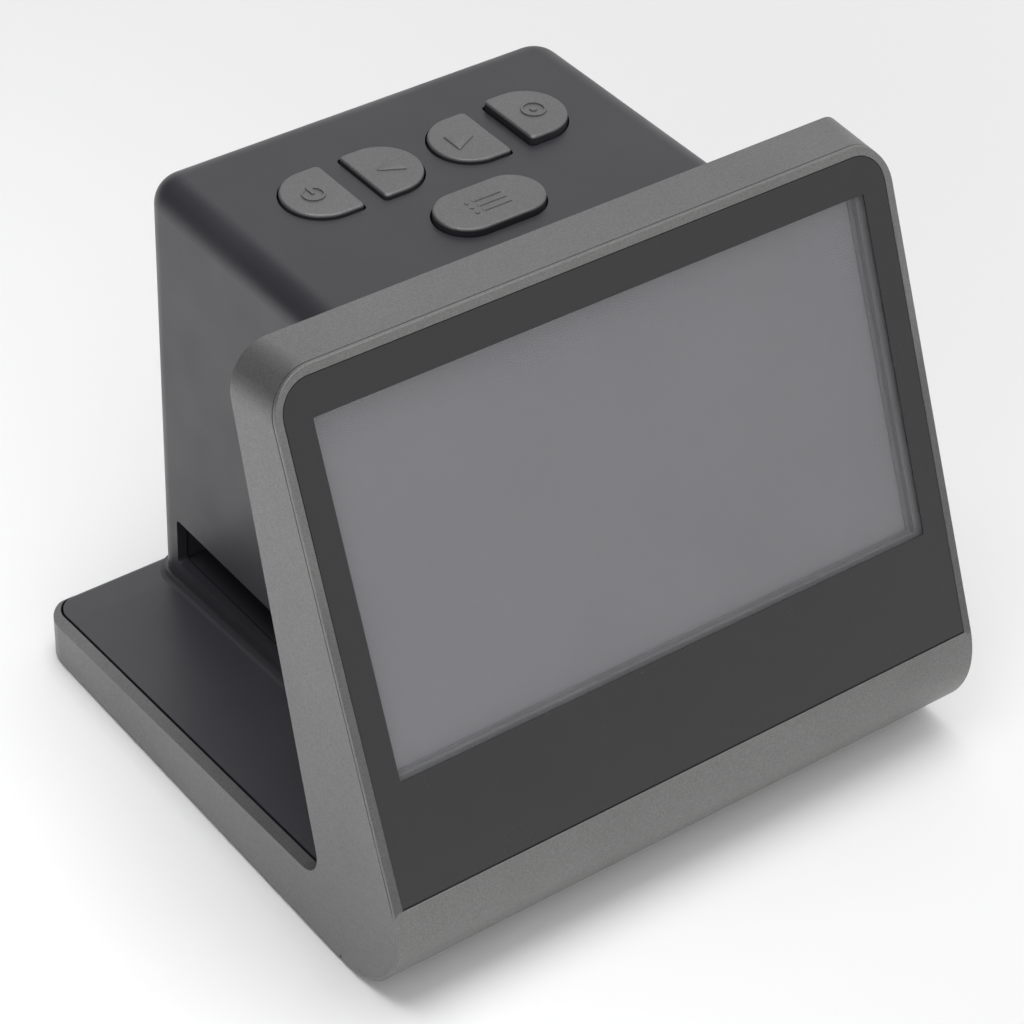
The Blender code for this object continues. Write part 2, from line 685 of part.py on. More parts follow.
def make_film_path(make, colours):
    left = BODY_X - BODY_HALF + WALL + 0.4
    right = BODY_X + BODY_HALF - WALL - 0.4
    front = SLOT_Y[0] - 2.0
    back = SLOT_Y[1] + 1.9
    floor = SLOT_Z[0] - GAP
    plate = rectangle(left, right, front, back)
    stage = make.prism("film_stage", colours["black"], plate, "Z", floor - 1.5, floor)
    work(stage, "DIFFERENCE", gate_window(make, "tool_stage_window", 0.0, 5.0, 20.0))
    hole = make.prism("tool_detent_hole", None, circle(1.85, 16, DETENT), "Z", 5.0, 20.0)
    work(stage, "DIFFERENCE", hole)

    roof = SLOT_Z[1] + 0.4
    legs = 1.6
    bridge = [
        (front, floor + GAP),
        (front + legs, floor + GAP),
        (front + legs, roof),
        (back - legs, roof),
        (back - legs, floor + GAP),
        (back, floor + GAP),
        (back, roof + 1.5),
        (front, roof + 1.5),
    ]
    guide = make.prism("film_guide", colours["black"], outline(bridge), "X", left, right)
    work(guide, "DIFFERENCE", gate_window(make, "tool_guide_window", 1.0, 20.0, 30.0))

    x, y = BODY_X, GATE_Y
    plate = rectangle(x - 22.0, x + 22.0, y - 16.0, y + 16.0)
    make.prism("diffuser", colours["opal"], plate, "Z", floor - 3.3, floor - 1.8)
    plate = rectangle(x - 25.0, x + 25.0, y - 19.0, y + 19.0)
    tray = make.prism("light_box", colours["white"], plate, "Z", 2.6, 9.7)
    inside = rectangle(x - 23.5, x + 23.5, y - 17.5, y + 17.5)
    work(tray, "DIFFERENCE", make.prism("tool_tray", None, inside, "Z", 3.8, 12.0))
    plate = rectangle(x - 22.5, x + 22.5, y - 16.5, y + 16.5)
    board = make.prism("led_board", colours["board"], plate, "Z", 4.1, 5.1)
    for column in range(4):
        for row in range(3):
            cx = x - 15.0 + 10.0 * column
            cy = y - 10.0 + 10.0 * row
            led = make.box(f"tool_led_{column}_{row}", None, (cx - 1.5, cy - 1.5, 4.6), (cx + 1.5, cy + 1.5, 5.8))
            work(board, "UNION", led)

    head = floor - 1.8
    profile = [(2.5, head - 1.0), (2.5, head), (1.5, head), (1.5, floor)]
    profile += [(1.2, floor + 0.5), (0.5, floor + 0.8)]
    shade(make.turned("detent_plunger", colours["steel"], profile, DETENT, 16, (*DETENT, floor)))
    make_spring(make, colours["steel"], BOTTOM_Z[1] + GAP, head - 1.0 - GAP)


def make_spring(make, steel, low, high):
    """Closed helix of round wire, standing on the bottom cover under the detent plunger."""
    wire = 0.3
    coil = 1.9
    turns = 4
    per_turn = 14
    sides = 6
    rise = (high - low - 2 * wire) / (turns * per_turn)
    rings = []
    for step in range(turns * per_turn + 1):
        a = 2 * math.pi * step / per_turn
        centre = Vector((DETENT[0], DETENT[1], low + wire + rise * step))
        outward = Vector((math.cos(a), math.sin(a), 0.0))
        ring = []
        for side in range(sides):
            b = 2 * math.pi * side / sides
            ring.append(centre + outward * (coil + wire * math.cos(b)) + Vector((0, 0, wire * math.sin(b))))
        rings.append(ring)
    return shade(make.loft("detent_spring", steel, rings), 60)


# Camera.


def square_ring(half_x, half_y, z):
    x, y = BODY_X, GATE_Y
    signs = ((-1, -1), (1, -1), (1, 1), (-1, 1))
    return [(x + across * half_x, y + along * half_y, z) for across, along in signs]


def make_camera(make, colours):
    base = SLOT_Z[1] + 0.4 + 1.5 + GAP
    top = TUNNEL_TOP
    flange = 19.0
    rings = [
        square_ring(25.0, 19.0, base),
        square_ring(25.0, 19.0, base + 1.5),
        square_ring(22.0, 16.0, base + 1.5),
        square_ring(15.0, 15.0, 56.0),
        square_ring(15.0, 15.0, top - 2.0),
        square_ring(flange, flange, top - 2.0),
        square_ring(flange, flange, top),
        square_ring(13.0, 13.0, top),
        square_ring(13.0, 13.0, 56.5),
        square_ring(20.0, 14.0, base + 1.5),
        square_ring(20.0, 14.0, base),
    ]
    tunnel = make.loft("light_tunnel", colours["black"], rings, loop=True)
    x, y = BODY_X, GATE_Y
    corners = [(x - 16.6, y - 16.6), (x + 16.6, y + 16.6)]
    for index, spot in enumerate(corners):
        bore = circle(1.1, 12, spot)
        pilot = make.prism(f"tool_tunnel_pilot_{index}", None, bore, "Z", top - 6.0, top + 3.0)
        work(tunnel, "DIFFERENCE", pilot)

    plate = rectangle(x - flange, x + flange, y - flange, y + flange, 1.5)
    board = make.prism("sensor_board", colours["board"], plate, "Z", top + GAP, top + GAP + 1.2)
    for index, spot in enumerate(corners):
        hole = make.prism(f"tool_sensor_hole_{index}", None, circle(1.3, 12, spot), "Z", top - 3.0, top + 6.0)
        work(board, "DIFFERENCE", hole)
    head_z = top + GAP + 1.2 + GAP + 0.8
    steel = colours["steel"]
    make_screws(make, "sensor_board_screw", steel, corners, 1.9, 0.8, head_z, top - 3.4, upward=False)
    make.box("image_sensor", colours["glass"], (x - 5.5, y - 4.5, top - 1.2), (x + 5.5, y + 4.5, top))

    mount = make.box("tool_lens_mount", None, (x - 13.5, y - 13.5, 61.0), (x + 13.5, y + 13.5, 66.0))
    work(tunnel, "UNION", mount)
    bore = make.prism("tool_lens_bore", None, circle(6.4, 24, (x, y)), "Z", 58.0, 69.0)
    work(tunnel, "DIFFERENCE", bore)

    low, high = LENS_TUBE_Z
    profile = [
        (7.6, low), (8.0, low + 0.5), (8.0, low + 4.0), (6.0, low + 4.0), (6.0, high), (4.7, high),
        (4.7, low + 2.0), (6.4, low),
    ]  # fmt: skip
    shade(make.turned("lens_barrel", colours["black"], profile, (x, y), 24, loop=True))
    for name, z, bulge in (("front_lens", low + 4.0, 0.7), ("rear_lens", high - 3.0, 0.5)):
        profile = [
            (0.6, z - bulge), (2.6, z - bulge * 0.6), (4.3, z), (4.3, z + 1.2),
            (2.6, z + 1.2 + bulge * 0.6), (0.6, z + 1.2 + bulge),
        ]  # fmt: skip
        shade(make.turned(name, colours["glass"], profile, (x, y), 20), 50)


# Ports and cables.


def make_ports(make, colours):
    board = rectangle(-31.0, 39.0, 103.5, 121.3)
    make.prism("port_board", colours["board"], board, "Z", PORT_Z[0] - GAP - 1.1, PORT_Z[0] - GAP)
    for name, (span, front, wall) in PORTS.items():
        x0, x1 = span
        z0, z1 = PORT_Z
        back = 123.2
        socket = make.box(name, colours["steel"], (x0, front, z0), (x1, back, z1))
        mouth = (x0 + wall, front + 1.5, z0 + wall), (x1 - wall, 130.0, z1 - wall)
        work(socket, "DIFFERENCE", make.box("tool_" + name, None, *mouth))


def make_cables(make, colours):
    board_low = Vector((math.sin(TILT), math.cos(TILT)))
    behind = Vector((math.cos(TILT), -math.sin(TILT)))

    def on_board(up, depth):
        return tuple(board_low * up + behind * depth)

    path = [(72.2, 84.6), (66.0, 84.0), (60.0, 78.0), (54.0, 66.0)]
    path += [on_board(70.0, 15.0), on_board(66.0, 13.7)]
    make_ribbon(make, "key_ribbon", colours["ribbon"], path, (-24.0, -14.0))
    path = [(62.6, 73.6), (57.0, 72.0), (52.0, 62.0), on_board(58.0, 15.0), on_board(54.0, 13.7)]
    make_ribbon(make, "sensor_ribbon", colours["ribbon"], path, (0.0, 12.0))
    path = [(103.1, 3.7), (90.0, 4.2), (60.0, 4.4), (38.0, 5.0), (31.0, 12.0)]
    path += [on_board(36.0, 15.5), on_board(40.0, 13.7)]
    make_ribbon(make, "port_ribbon", colours["ribbon"], path, (-31.0, -22.0))


def main():
    clear_scene()
    datum = empty("datum", location=(0.0, -MID_Y, FOOT_DROP))
    slope = empty("screen", parent=datum, turn=math.pi / 2 - TILT)
    colours = {
        "gunmetal": paint("gunmetal", (0.2, 0.2, 0.205), 0.45, 0.6),
        "black": paint("black_plastic", (0.085, 0.085, 0.09), 0.5),
        "lens": paint("lens_print", (0.03, 0.03, 0.032), 0.15),
        "glass": paint("glass", (0.2, 0.2, 0.22), 0.1),
        "steel": paint("steel", (0.6, 0.6, 0.6), 0.3, 1.0),
        "board": paint("circuit_board", (0.02, 0.12, 0.05), 0.4),
        "chip": paint("chip", (0.03, 0.03, 0.03), 0.5),
        "ribbon": paint("ribbon_cable", (0.5, 0.3, 0.1), 0.4),
        "rubber": paint("rubber", (0.04, 0.04, 0.04), 0.8),
        "opal": paint("opal", (0.85, 0.85, 0.85), 0.6),
        "white": paint("white_plastic", (0.8, 0.8, 0.8), 0.5),
    }
    make = Maker(datum)
    screen = Maker(slope)
    make_outer_shell(make, screen, colours["gunmetal"])
    make_front_bezel(make, screen, colours["gunmetal"])
    make_rear_housing(make, colours["black"])
    make_bottom_cover(make, colours["black"])
    make_feet(make, colours["rubber"])
    make_screws(make, "cover_screw", colours["steel"], BOSSES, 2.5, 1.0, 0.3, 7.2)
    make_display(make, screen, colours)
    make_keys(make, colours)
    make_film_path(make, colours)
    make_camera(make, colours)
    make_ports(make, colours)
    make_cables(make, colours)


main()
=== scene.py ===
"""Looks of the slide viewer: fine surfaces, materials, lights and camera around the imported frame.

Sizes are in millimetres on the same datum as the model: x to the right, y back, z up from the plane of the
shell's bottom edge. Everything on the slope of the screen is made flat (x across, y up the slope, z out of
the screen) and turned into place.
"""

import json
import math

import bmesh
import bpy
from mathutils import Matrix, Vector


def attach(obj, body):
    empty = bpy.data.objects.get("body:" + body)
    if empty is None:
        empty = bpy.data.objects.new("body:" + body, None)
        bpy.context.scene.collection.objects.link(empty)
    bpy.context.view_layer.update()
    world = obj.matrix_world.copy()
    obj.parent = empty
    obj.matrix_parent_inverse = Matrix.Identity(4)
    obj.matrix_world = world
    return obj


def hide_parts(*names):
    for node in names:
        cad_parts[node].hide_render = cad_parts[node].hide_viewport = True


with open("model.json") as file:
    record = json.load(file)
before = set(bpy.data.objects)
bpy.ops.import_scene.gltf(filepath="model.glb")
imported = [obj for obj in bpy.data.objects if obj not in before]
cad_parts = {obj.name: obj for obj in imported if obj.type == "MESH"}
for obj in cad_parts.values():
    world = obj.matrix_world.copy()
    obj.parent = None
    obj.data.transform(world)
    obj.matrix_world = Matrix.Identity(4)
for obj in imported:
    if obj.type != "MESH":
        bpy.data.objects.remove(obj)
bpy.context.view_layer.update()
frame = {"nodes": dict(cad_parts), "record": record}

MM = 0.001
SHARP_ANGLE = math.radians(32.0)  # edges sharper than this are rounded
GAP = 0.3

# The frame and the base rim.
WIDTH = 124.7
TILT = math.radians(23.0)
NOSE_RADIUS = 16.57
BACK_Y = 123.9
FRAME_FRONT_Z = 107.4
FRAME_REAR_Z = 105.7
FRAME_REAR_Y = 57.5
REAR_LEAN = 0.2894
COVER_Z_AT_20 = 13.16  # top of the base cover, 20 mm behind the shell's foot
COVER_FALL = 0.0494
ROLL_Y = 116.0
ROLL_DROP = 0.35
ROLL_RADIUS = 1.6
WALL = 2.0
CHEEK = 2.4
TOP_CORNER = 8.0
TIGHT_CORNER = 3.2
BACK_CORNER = 8.0
POCKET_RADIUS = 5.0

# The ring round the screen, and its seat in the frame.
FACE_THICK = 0.8
SEAM = 0.12
NOSE_SEAM = 0.03
LIP = 1.0
RABBET = 3.3
BEZEL_THICK = 3.0

# The camera box and the slot through it.
BODY_X = 5.1
BODY_HALF = 42.9
BODY_BACK = 122.2
BODY_TOP = 94.9
BODY_CORNER = 6.0
BODY_EDGE = 5.5
BODY_FOOT = 1.5
SLOT_Y = (50.0, 114.3)
SLOT_Z = (13.7, 23.7)
HOUSING_ROOM = 0.5

# The cover over the screen, with its clear window, on the slope.
LENS_HALF = 60.7
LENS_SPAN = (25.2, 114.95)
LENS_CORNER = 5.8
WINDOW = (-55.7, 55.8, 45.9, 108.3)

# The keys.
ROW_X = 5.3
D_RADIUS = 7.3
D_ROW_Y = 98.65
D_WIDTH = 11.4
INNER_KEY_FLAT = 13.3
OUTER_KEY_FLAT = 17.5
OVAL_HALF = (10.6, 5.9)
OVAL_Y = 79.7
FLANGE_Z = (91.4, 92.4)
KEY_ROOM = 0.32

# The underside and the back.
FOOT_DROP = 0.8
FOOT_RADIUS = 5.0
PORT_Z = (4.4, 7.6)
PORT_ROOM = 0.35
HOUSING_FOOT_Z = 2.5

NOSE_FRONT_Y = NOSE_RADIUS * (1 + math.sin(TILT)) / math.cos(TILT) - NOSE_RADIUS
MID_Y = (NOSE_FRONT_Y + BACK_Y) / 2
DATUM = Matrix.Translation((0.0, -MID_Y, FOOT_DROP))
SLOPE = DATUM @ Matrix.Rotation(math.pi / 2 - TILT, 4, "X")


def front_y(z):
    return z * math.tan(TILT)


def rear_y(z):
    return FRAME_REAR_Y - REAR_LEAN * (FRAME_REAR_Z - z)


def cover_z(y):
    return COVER_Z_AT_20 - COVER_FALL * (y - 20.0)


def crossing(inset):
    """Where the frame's back and the base's top meet, both moved inwards by inset."""
    lean = inset * math.hypot(1.0, REAR_LEAN)
    drop = inset * math.hypot(1.0, COVER_FALL)
    y = FRAME_REAR_Y - lean - REAR_LEAN * (FRAME_REAR_Z - COVER_Z_AT_20 - COVER_FALL * 20.0 + drop)
    y /= 1.0 + REAR_LEAN * COVER_FALL
    return y, cover_z(y) - drop


# Materials. Each finish varies over the surface by the object's own coordinates.


class Nodes:
    """A material's node tree with short calls for what is used here."""

    def __init__(self, name):
        self.material = bpy.data.materials.new(name)
        self.material.use_nodes = True
        self.tree = self.material.node_tree
        self.shader = self.tree.nodes["Principled BSDF"]
        self.place = self.add("ShaderNodeTexCoord").outputs["Object"]

    def add(self, kind, **settings):
        node = self.tree.nodes.new(kind)
        for key, value in settings.items():
            setattr(node, key, value)
        return node

    def link(self, source, target):
        self.tree.links.new(source, target)

    def noise(self, scale, detail):
        node = self.add("ShaderNodeTexNoise")
        node.inputs["Scale"].default_value = scale
        node.inputs["Detail"].default_value = detail
        self.link(self.place, node.inputs["Vector"])
        return node.outputs["Fac"]

    def flakes(self, scale):
        """A random value in each small cell."""
        node = self.add("ShaderNodeTexVoronoi")
        node.inputs["Scale"].default_value = scale
        self.link(self.place, node.inputs["Vector"])
        split = self.add("ShaderNodeSeparateColor")
        self.link(node.outputs["Color"], split.inputs["Color"])
        return split.outputs["Red"]

    def roughen(self, source, low, high):
        """Drives the roughness between low and high."""
        node = self.add("ShaderNodeMapRange")
        for key, value in (("From Min", 0.3), ("From Max", 0.7), ("To Min", low), ("To Max", high)):
            node.inputs[key].default_value = value
        self.link(source, node.inputs["Value"])
        self.link(node.outputs["Result"], self.shader.inputs["Roughness"])

    def paint(self, colour):
        self.link(colour, self.shader.inputs["Base Color"])

    def tones(self, source, dark, light, start=0.3, end=0.7):
        node = self.add("ShaderNodeValToRGB")
        node.color_ramp.elements[0].position = start
        node.color_ramp.elements[1].position = end
        node.color_ramp.elements[0].color = (*dark, 1.0)
        node.color_ramp.elements[1].color = (*light, 1.0)
        self.link(source, node.inputs["Fac"])
        return node.outputs["Color"]

    def multiply(self, first, second):
        node = self.add("ShaderNodeMix", data_type="RGBA", blend_type="MULTIPLY")
        node.inputs["Factor"].default_value = 1.0
        self.link(first, node.inputs["A"])
        self.link(second, node.inputs["B"])
        return node.outputs["Result"]

    def bump(self, height, strength, distance):
        node = self.add("ShaderNodeBump")
        node.inputs["Strength"].default_value = strength
        node.inputs["Distance"].default_value = distance
        self.link(height, node.inputs["Height"])
        self.link(node.outputs["Normal"], self.shader.inputs["Normal"])


def moulded(name, colour, roughness, spread=0.12, grain=5200.0, relief=0.25, specular=0.5):
    """Moulded plastic or resin: slow changes of tone, a fine spark-eroded grain, and uneven gloss."""
    made = Nodes(name)
    light = [min(1.0, c * (1 + spread)) for c in colour]
    dark = [c * (1 - spread) for c in colour]
    slow = made.tones(made.noise(55.0, 4.0), dark, light)
    fine = made.tones(made.noise(grain, 1.0), (0.86, 0.86, 0.86), (1.0, 1.0, 1.0))
    made.paint(made.multiply(slow, fine))
    made.roughen(made.noise(90.0, 3.0), roughness * 0.9, roughness * 1.1)
    made.shader.inputs["Specular IOR Level"].default_value = specular
    made.bump(made.noise(grain, 1.0), relief, 0.00006)
    return made.material


def flake_paint(name, colour, sparkle, roughness, metallic, size):
    """Satin paint with metal flake: each small cell has its own tone."""
    made = Nodes(name)
    slow = made.tones(made.noise(40.0, 3.0), [c * 0.94 for c in colour], [c * 1.06 for c in colour])
    low = (1.0 - sparkle,) * 3
    cells = made.tones(made.flakes(size), low, (1.0, 1.0, 1.0), 0.0, 1.0)
    made.paint(made.multiply(slow, cells))
    made.roughen(made.noise(1500.0, 2.0), roughness * 0.88, roughness * 1.12)
    made.shader.inputs["Metallic"].default_value = metallic
    made.bump(made.flakes(size * 0.8), 0.22, 0.00004)
    return made.material


def metal(name, colour, roughness):
    made = Nodes(name)
    made.paint(made.tones(made.noise(700.0, 3.0), [c * 0.85 for c in colour], colour))
    made.roughen(made.noise(1200.0, 2.0), roughness * 0.7, roughness * 1.3)
    made.shader.inputs["Metallic"].default_value = 1.0
    made.bump(made.noise(2500.0, 2.0), 0.08, 0.00003)
    return made.material


def display(name):
    """The unlit display seen through its cover: an even grey painted reflection of the bright surroundings,
    with a faint cloudiness.
    """
    made = Nodes(name)
    # The grey base colour is painted reflection; the raised specular level below adds the real gloss.
    made.paint(made.tones(made.noise(42.0, 3.0), (0.121, 0.119, 0.133), (0.128, 0.126, 0.141)))
    made.roughen(made.noise(60.0, 2.0), 0.22, 0.26)
    made.shader.inputs["Specular IOR Level"].default_value = 1.0
    return made.material


def clear(name):
    """Clear cover: almost all of what is behind shows through."""
    made = Nodes(name)
    made.paint(made.tones(made.noise(30.0, 2.0), (0.55, 0.55, 0.57), (0.6, 0.6, 0.62)))
    made.roughen(made.noise(80.0, 2.0), 0.08, 0.13)
    made.shader.inputs["Alpha"].default_value = 0.06
    return made.material


def circuit(name):
    """Green solder mask with the faint relief of tracks under it."""
    made = Nodes(name)
    brick = made.add("ShaderNodeTexBrick")
    brick.inputs["Scale"].default_value = 260.0
    brick.inputs["Mortar Size"].default_value = 0.03
    brick.inputs["Color1"].default_value = (0.012, 0.09, 0.04, 1.0)
    brick.inputs["Color2"].default_value = (0.015, 0.12, 0.05, 1.0)
    brick.inputs["Mortar"].default_value = (0.03, 0.2, 0.09, 1.0)
    made.link(made.place, brick.inputs["Vector"])
    made.paint(brick.outputs["Color"])
    made.roughen(made.noise(200.0, 2.0), 0.3, 0.42)
    made.bump(brick.outputs["Fac"], 0.3, 0.00005)
    return made.material


MATERIALS = {
    "gunmetal": flake_paint("gunmetal_paint", (0.2, 0.2, 0.203), 0.3, 0.4, 0.6, 6500.0),
    "bezel": flake_paint("bezel_paint", (0.214, 0.212, 0.21), 0.3, 0.42, 0.55, 6500.0),
    "key": flake_paint("key_paint", (0.169, 0.169, 0.172), 0.25, 0.42, 0.5, 6000.0),
    "black": moulded("housing_plastic", (0.034, 0.0333, 0.0395), 0.4, 0.06, relief=0.1),
    # A lighter copy of the housing plastic: painted light for the up-facing top of the base, which is one
    # moulding with the camera box.
    "cover": moulded("housing_plastic_painted_lit", (0.054, 0.053, 0.061), 0.38, 0.05, relief=0.06),
    "lens": moulded("printed_border", (0.0225, 0.0225, 0.0245), 0.25, 0.02, 4200.0, 0.01),
    "wall": moulded("surround_ledge", (0.135, 0.135, 0.141), 0.4, 0.08, 1500.0, 0.05),
    "surround": moulded("display_surround", (0.125, 0.125, 0.131), 0.5, 0.08, 1500.0, 0.05),
    "display": display("display_surface"),
    "clear": clear("clear_cover"),
    "glass": moulded("optical_glass", (0.05, 0.06, 0.08), 0.06, 0.05, 300.0, 0.01, specular=0.8),
    "steel": metal("plated_steel", (0.62, 0.62, 0.63), 0.3),
    "gold": metal("gold_contact", (0.8, 0.6, 0.25), 0.25),
    "board": circuit("circuit_board"),
    "chip": moulded("chip_resin", (0.02, 0.02, 0.021), 0.45),
    "ribbon": moulded("ribbon_film", (0.45, 0.24, 0.06), 0.3, 0.1, 1500.0, 0.1),
    "rubber": moulded("foot_rubber", (0.02, 0.02, 0.021), 0.85, 0.2, 2500.0, 0.5),
    "opal": moulded("opal_plastic", (0.82, 0.82, 0.8), 0.5, 0.03),
    "white": moulded("white_plastic", (0.75, 0.75, 0.74), 0.5, 0.03),
}


# Outlines.


def outline(corners, degrees=5.0):
    """A closed outline from (a, b) or (a, b, radius) corners, with an arc at each radius."""
    points = []
    for index, corner in enumerate(corners):
        here = Vector(corner[:2])
        radius = corner[2] if len(corner) > 2 else 0.0
        if not radius:
            points.append(here)
            continue
        before = (Vector(corners[index - 1][:2]) - here).normalized()
        after = (Vector(corners[(index + 1) % len(corners)][:2]) - here).normalized()
        angle = before.angle(after)
        centre = here + (before + after).normalized() * radius / math.sin(angle / 2)
        reach = radius / math.tan(angle / 2)
        start = here + before * reach - centre
        end = here + after * reach - centre
        steps = max(3, math.ceil((math.pi - angle) / math.radians(degrees) - 0.01))
        turns = [start.slerp(end, step / steps).normalized() for step in range(steps + 1)]
        points += [centre + turn * radius for turn in turns]
    return points


def rectangle(x0, x1, y0, y1, radius=0.0):
    return outline([(x0, y0, radius), (x1, y0, radius), (x1, y1, radius), (x0, y1, radius)])


def circle(radius, count, centre):
    angles = [2 * math.pi * step / count for step in range(count)]
    return [Vector((centre[0] + radius * math.cos(a), centre[1] + radius * math.sin(a))) for a in angles]


def face_outline(half, bottom, top, corner):
    return outline([(-half, bottom), (half, bottom), (half, top, corner), (-half, top, corner)])


def plan_outline(half, back, corner):
    return outline([(-half, -30.0), (half, -30.0), (half, back, corner), (-half, back, corner)])


def stepped_plan(half, back, corner, tail_half, tail_back):
    """A plan whose middle reaches further back than its corners."""
    left = [(-tail_half, tail_back), (-tail_half, back), (-half, back, corner)]
    right = [(half, back, corner), (tail_half, back), (tail_half, tail_back)]
    return outline([(-half, -30.0), (half, -30.0), *right, *left])


# Solids.


def solid(name, material, points, faces, place):
    """A mesh object from points in millimetres. A tool for cutting has no material."""
    mesh = bpy.data.meshes.new(name)
    shape = bmesh.new()
    verts = [shape.verts.new((place @ Vector(point)) * MM) for point in points]
    for face in faces:
        shape.faces.new([verts[index] for index in face])
    bmesh.ops.recalc_face_normals(shape, faces=shape.faces)
    shape.to_mesh(mesh)
    shape.free()
    obj = bpy.data.objects.new(name, mesh)
    bpy.context.scene.collection.objects.link(obj)
    if material:
        mesh.materials.append(MATERIALS[material])
    return obj


def loft(name, material, rings, place=DATUM, loop=False):
    """Joins rings of equally many points. A loop closes on its first ring and has no ends."""
    count = len(rings[0])
    points = [point for ring in rings for point in ring]
    faces = []
    for level in range(len(rings) if loop else len(rings) - 1):
        low = level * count
        high = ((level + 1) % len(rings)) * count
        for step in range(count):
            after = (step + 1) % count
            faces.append((low + step, low + after, high + after, high + step))
    if not loop:
        faces.append(tuple(range(count)))
        faces.append(tuple(range((len(rings) - 1) * count, len(rings) * count)))
    return solid(name, material, points, faces, place)


def prism(name, material, shape, axis, low, high, place=DATUM):
    """Extrudes an outline along X, Y or Z."""

    def put(point, along):
        if axis == "X":
            return along, point.x, point.y
        if axis == "Y":
            return point.x, along, point.y
        return point.x, point.y, along

    return loft(name, material, [[put(point, along) for point in shape] for along in (low, high)], place)


def turned(name, material, profile, centre, count):
    """A closed body of revolution about the vertical line through centre, from (radius, z) pairs."""
    rings = [[(*point, z) for point in circle(radius, count, centre)] for radius, z in profile]
    return loft(name, material, rings)


def block(name, material, low, high):
    return prism(name, material, rectangle(low[0], high[0], low[1], high[1]), "Z", low[2], high[2])


def bake(obj):
    """Makes the modifiers' result the object's own mesh."""
    bpy.context.view_layer.update()
    graph = bpy.context.evaluated_depsgraph_get()
    mesh = bpy.data.meshes.new_from_object(obj.evaluated_get(graph))
    obj.modifiers.clear()
    obj.data = mesh
    return obj


def work(target, operation, tool):
    """Cuts, joins or trims the target with a tool, and removes the tool."""
    modifier = target.modifiers.new(tool.name, "BOOLEAN")
    modifier.operation = operation
    modifier.solver = "EXACT"
    modifier.object = tool
    bake(target)
    bpy.data.objects.remove(tool)


def soften(obj, width, segments=3, spare=None):
    """Rounds the sharp edges a little, except where spare says not to, and shades the rest smooth."""
    tidy = bmesh.new()
    tidy.from_mesh(obj.data)
    bmesh.ops.remove_doubles(tidy, verts=tidy.verts, dist=0.00001)
    weight = tidy.edges.layers.float.new("bevel_weight_edge")
    for edge in tidy.edges:
        if edge.calc_face_angle(0.0) > SHARP_ANGLE:
            ends = [DATUM.inverted() @ (corner.co / MM) for corner in edge.verts]
            edge[weight] = 0.0 if spare and all(spare(end) for end in ends) else 1.0
    tidy.to_mesh(obj.data)
    tidy.free()
    obj.data.shade_smooth()
    bevel = obj.modifiers.new("edges", "BEVEL")
    bevel.width = width * MM
    bevel.segments = segments
    bevel.limit_method = "WEIGHT"
    bevel.miter_outer = "MITER_ARC"
    bake(obj)
    obj.data.shade_smooth()
    obj.data.set_sharp_from_angle(angle=SHARP_ANGLE + math.radians(8.0))
    weighted = obj.modifiers.new("normals", "WEIGHTED_NORMAL")
    weighted.keep_sharp = True
    weighted.weight = 80
    return obj


def smooth(obj, angle=35.0):
    obj.data.shade_smooth()
    obj.data.set_sharp_from_angle(angle=math.radians(angle))
    return obj


def take_place(obj, body, *nodes, slot=None):
    """Rides on a body and hides the CAD nodes it stands for. The slot argument is not used."""
    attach(obj, body)
    if nodes:
        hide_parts(*nodes)
    return obj


# Casing.


def side_outline():
    """The shell seen from the side: nose, bottom, back, base top, pocket, frame back, frame top."""
    return outline(
        [
            (0.0, 0.0, NOSE_RADIUS),
            (BACK_Y, 0.0),
            (BACK_Y, cover_z(BACK_Y) - ROLL_DROP, ROLL_RADIUS),
            (ROLL_Y, cover_z(ROLL_Y)),
            (*crossing(0.0), POCKET_RADIUS),
            (FRAME_REAR_Y, FRAME_REAR_Z),
            (front_y(FRAME_FRONT_Z), FRAME_FRONT_Z),
        ],
        4.0,
    )


def frame_block(name, inset, low):
    """All inside the frame's outline, moved inwards by inset. Its right top corner tightens to the back."""
    front = front_y(FRAME_FRONT_Z)
    fall = (FRAME_FRONT_Z - FRAME_REAR_Z) / (FRAME_REAR_Y - front)
    half = WIDTH / 2 - inset
    top = FRAME_FRONT_Z - inset
    wide = TOP_CORNER - inset
    tight = max(TIGHT_CORNER - inset, 0.5)
    rings = []
    stations = ((-40.0 + inset, wide), (front - 1.0, wide), (FRAME_REAR_Y, tight), (160.0 + inset, tight))
    for along, corner in stations:
        face = outline([(-half, low), (half, low), (half, top, corner), (-half, top, wide)])
        rings.append([(point.x, along, point.y - fall * (along - front)) for point in face])
    return loft(name, None, rings)


def nose_strip(name, material, depth, half, outside=0.0, past=0.0):
    """The curved strip under the screen, depth thick, from the slope round to the underside."""
    centre = Vector((NOSE_FRONT_Y + NOSE_RADIUS, NOSE_RADIUS))
    first = math.pi - TILT
    last = 1.5 * math.pi
    steps = 28
    rays = []
    for step in range(steps + 1):
        angle = first + (last - first) * step / steps
        rays.append(Vector((math.cos(angle), math.sin(angle))))
    outer = [centre + ray * (NOSE_RADIUS + outside) for ray in rays]
    inner = [centre + ray * (NOSE_RADIUS - depth) for ray in rays]
    if past:
        outer.append(outer[-1] + Vector((past, 0.0)))
        inner.append(inner[-1] + Vector((past, 0.0)))
    return prism(name, material, outer + inner[::-1], "X", -half, half)


def on_nose_seam(point):
    """Whether a point lies on the side end of the joint between the nose strip and the shell."""
    reach = math.hypot(point.y - NOSE_FRONT_Y - NOSE_RADIUS, point.z - NOSE_RADIUS)
    return abs(point.x) > WIDTH / 2 - 0.1 and abs(reach - NOSE_RADIUS + FACE_THICK) < 0.2


